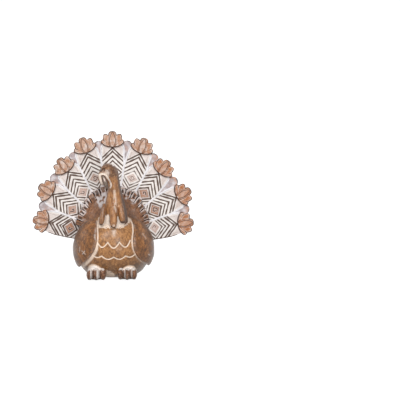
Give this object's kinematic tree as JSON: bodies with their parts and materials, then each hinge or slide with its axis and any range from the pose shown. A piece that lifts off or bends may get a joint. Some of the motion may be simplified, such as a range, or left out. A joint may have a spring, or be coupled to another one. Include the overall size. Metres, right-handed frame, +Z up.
{
  "type": "thanksgiving turkey figure",
  "caption": "Tabletop turkey figure with a round body, folded wings, bowed lobed neck and a fan tail of carved feathers, standing on felt pads.",
  "frame": {"origin": "middle of the figure's bounding box, on the surface the felt pads stand on", "axes": "+Z up, the breast and head face -Y, +X to the viewer's right when looking at the breast"},
  "size_m": [0.1876, 0.0916, 0.1624],
  "materials": {
    "carved_body": "cast resin painted as antiqued carved wood, satin, pale wash in the cuts",
    "carved_ruff": "cast resin painted as antiqued carved wood, satin, pale wash between the feathers",
    "carved_neck": "cast resin painted as antiqued carved wood, satin",
    "beak": "cast resin painted dark brown, satin",
    "carved_wing": "cast resin painted as antiqued carved wood, satin, dark in the cuts",
    "carved_foot": "cast resin painted as carved wood, pale wash between the toes",
    "fan_board": "cast resin with a pale wash over wood brown, matte",
    "carved_feather": "cast resin with a pale wash, dark brown in the carved chevrons, matte",
    "carved_tip": "cast resin painted as antiqued carved wood, satin, dark lines",
    "felt": "black felt"
  },
  "bodies": {
    "root": {"body": "carved_body", "shoulder_ruff": "carved_ruff", "neck_head": "carved_neck", "beak": "beak", "wing_left": "carved_wing", "wing_right": "carved_wing", "foot_left": "carved_foot", "foot_right": "carved_foot", "tail_board": "fan_board", "tail_feather_1": "carved_feather", "tail_feather_2": "carved_feather", "tail_feather_3": "carved_feather", "tail_feather_4": "carved_feather", "tail_feather_5": "carved_feather", "tail_feather_6": "carved_feather", "tail_feather_7": "carved_feather", "tail_feather_8": "carved_feather", "tail_feather_9": "carved_feather", "feather_tip_1": "carved_tip", "feather_tip_2": "carved_tip", "feather_tip_3": "carved_tip", "feather_tip_4": "carved_tip", "feather_tip_5": "carved_tip", "feather_tip_6": "carved_tip", "feather_tip_7": "carved_tip", "feather_tip_8": "carved_tip", "feather_tip_9": "carved_tip", "felt_pad_front_left": "felt", "felt_pad_front_right": "felt", "felt_pad_back_left": "felt", "felt_pad_back_right": "felt"}
  },
  "joints": []
}
